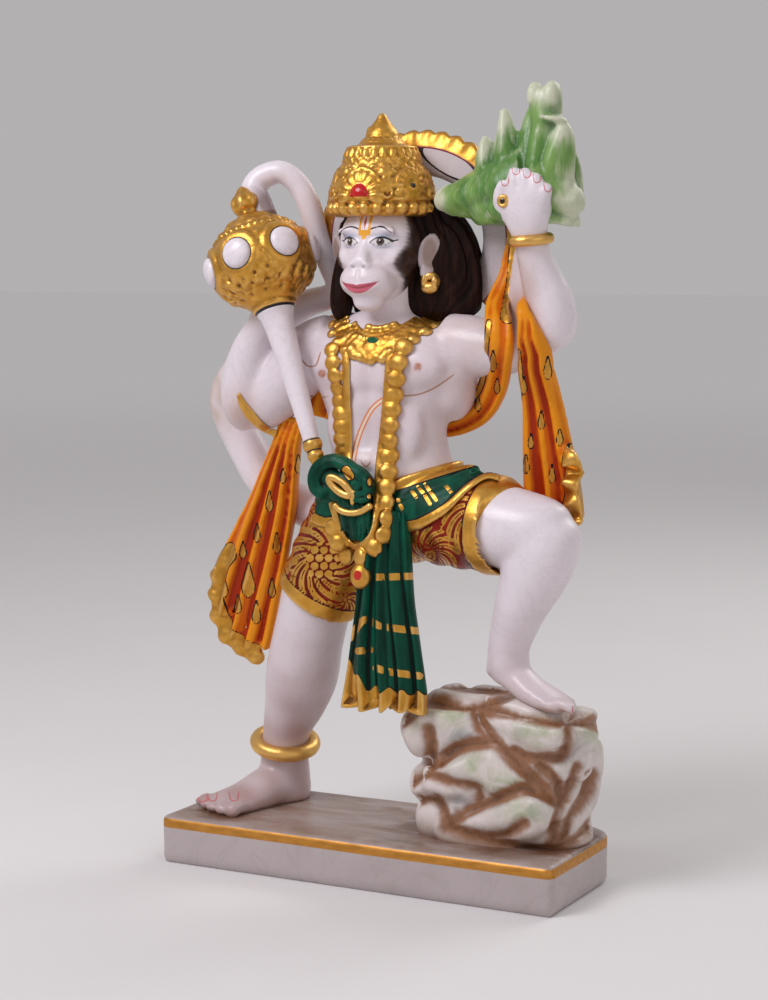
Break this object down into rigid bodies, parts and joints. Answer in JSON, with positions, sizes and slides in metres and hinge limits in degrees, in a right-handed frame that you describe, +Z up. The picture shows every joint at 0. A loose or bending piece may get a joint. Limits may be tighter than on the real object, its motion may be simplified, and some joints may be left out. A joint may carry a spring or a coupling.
{
  "type": "marble figure of Hanuman",
  "caption": "Painted and gilded white marble altar figure of Hanuman with mace and mountain, one foot on a rock, carved in one with its plinth",
  "frame": {"origin": "middle of the plinth's underside", "axes": "+Z up through the figure; +X along the plinth towards the figure's left hand and the mountain; -Y is the front that the figure faces"},
  "size_m": [0.2685, 0.101, 0.4607],
  "materials": {
    "marble": "polished white marble, painted and gilded by hand"
  },
  "bodies": {
    "root": {"hanuman_statue": "marble"}
  },
  "joints": []
}
